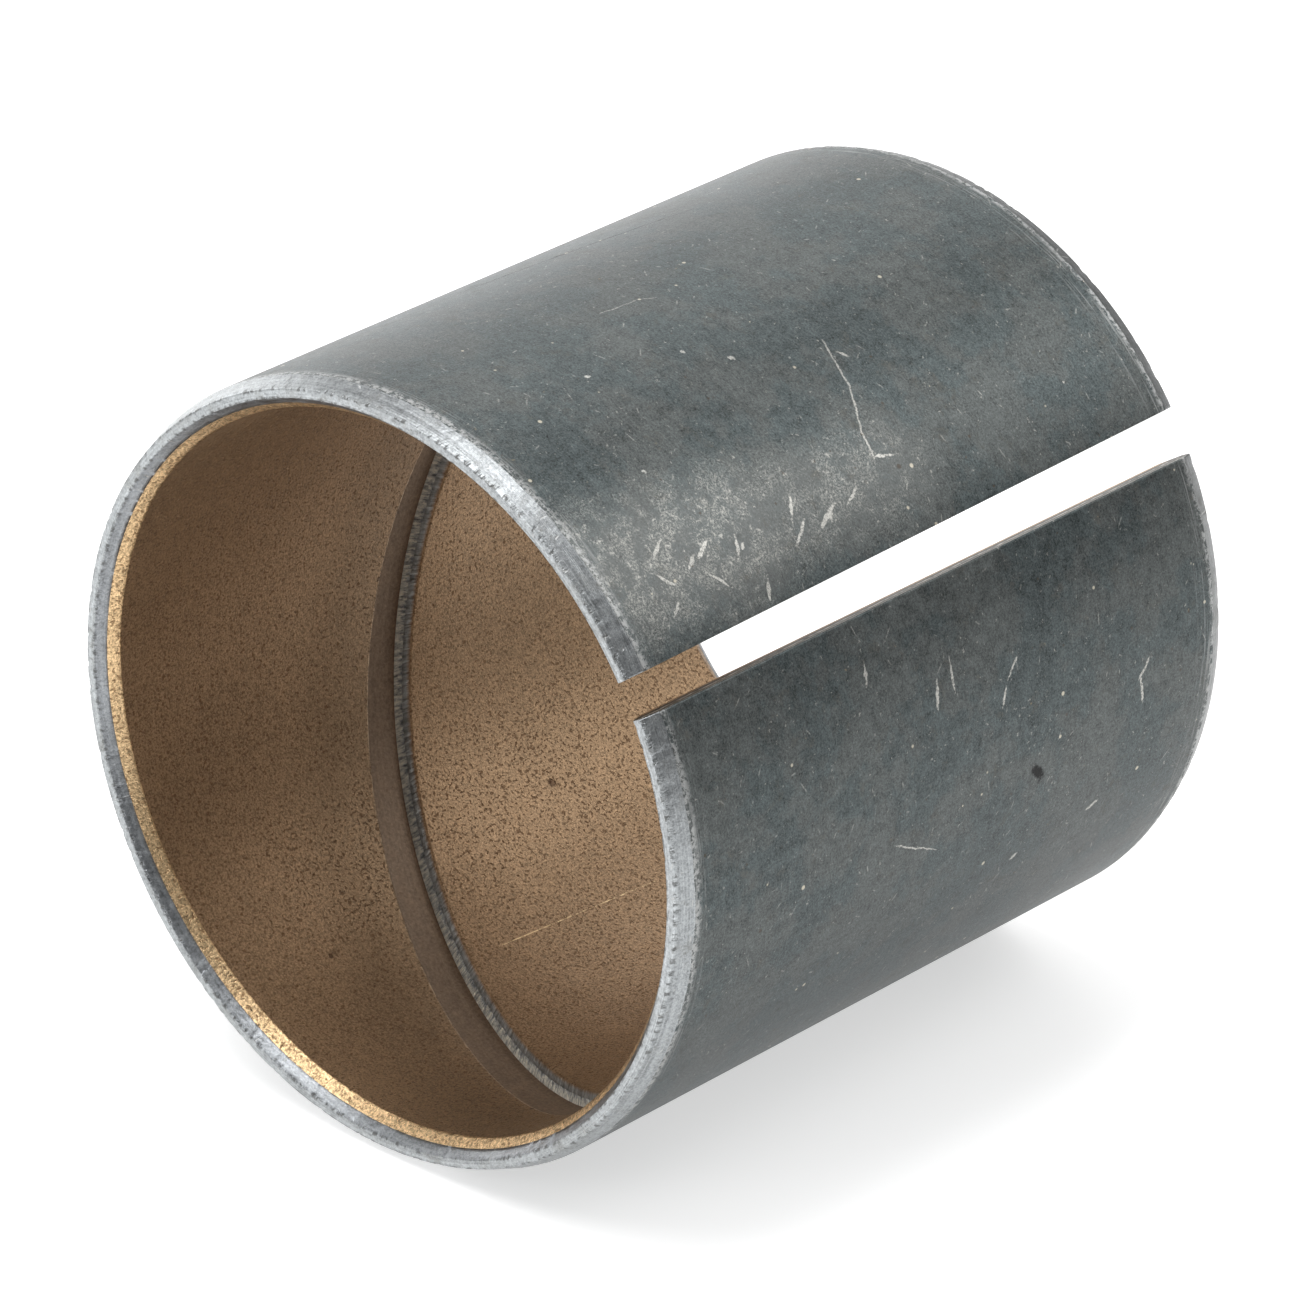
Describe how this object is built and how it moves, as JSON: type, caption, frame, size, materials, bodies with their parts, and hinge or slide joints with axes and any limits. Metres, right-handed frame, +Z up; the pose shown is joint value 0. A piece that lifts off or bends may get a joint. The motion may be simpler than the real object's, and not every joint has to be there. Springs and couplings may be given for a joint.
{
  "type": "split bimetal sleeve bushing",
  "caption": "Split rolled sleeve bushing: steel backing shell with a sintered bronze lining, open axial seam, chamfered ends and a pressed helical oil groove in the bore.",
  "frame": {"origin": "centre of the outer envelope: on the bore axis, at mid-length", "axes": "+Y along the bore axis, from the front end face to the rear end face; +Z up as the bushing lies on its side; +X towards the side that holds the open seam"},
  "size_m": [0.0606, 0.0606, 0.0613],
  "materials": {
    "backing_steel": "dark blue-grey rolled strip, mottled and lightly scratched, with bright turned chamfers",
    "sintered_bronze": "satin brown sintered bronze with fine dark pores, bright gold where the chamfer cuts it",
    "pressed_bronze": "smoother brown bronze, its pores closed by the press"
  },
  "bodies": {
    "root": {"steel_backing": "backing_steel", "bronze_lining": "sintered_bronze", "groove_floor_bronze": "pressed_bronze"}
  },
  "joints": []
}
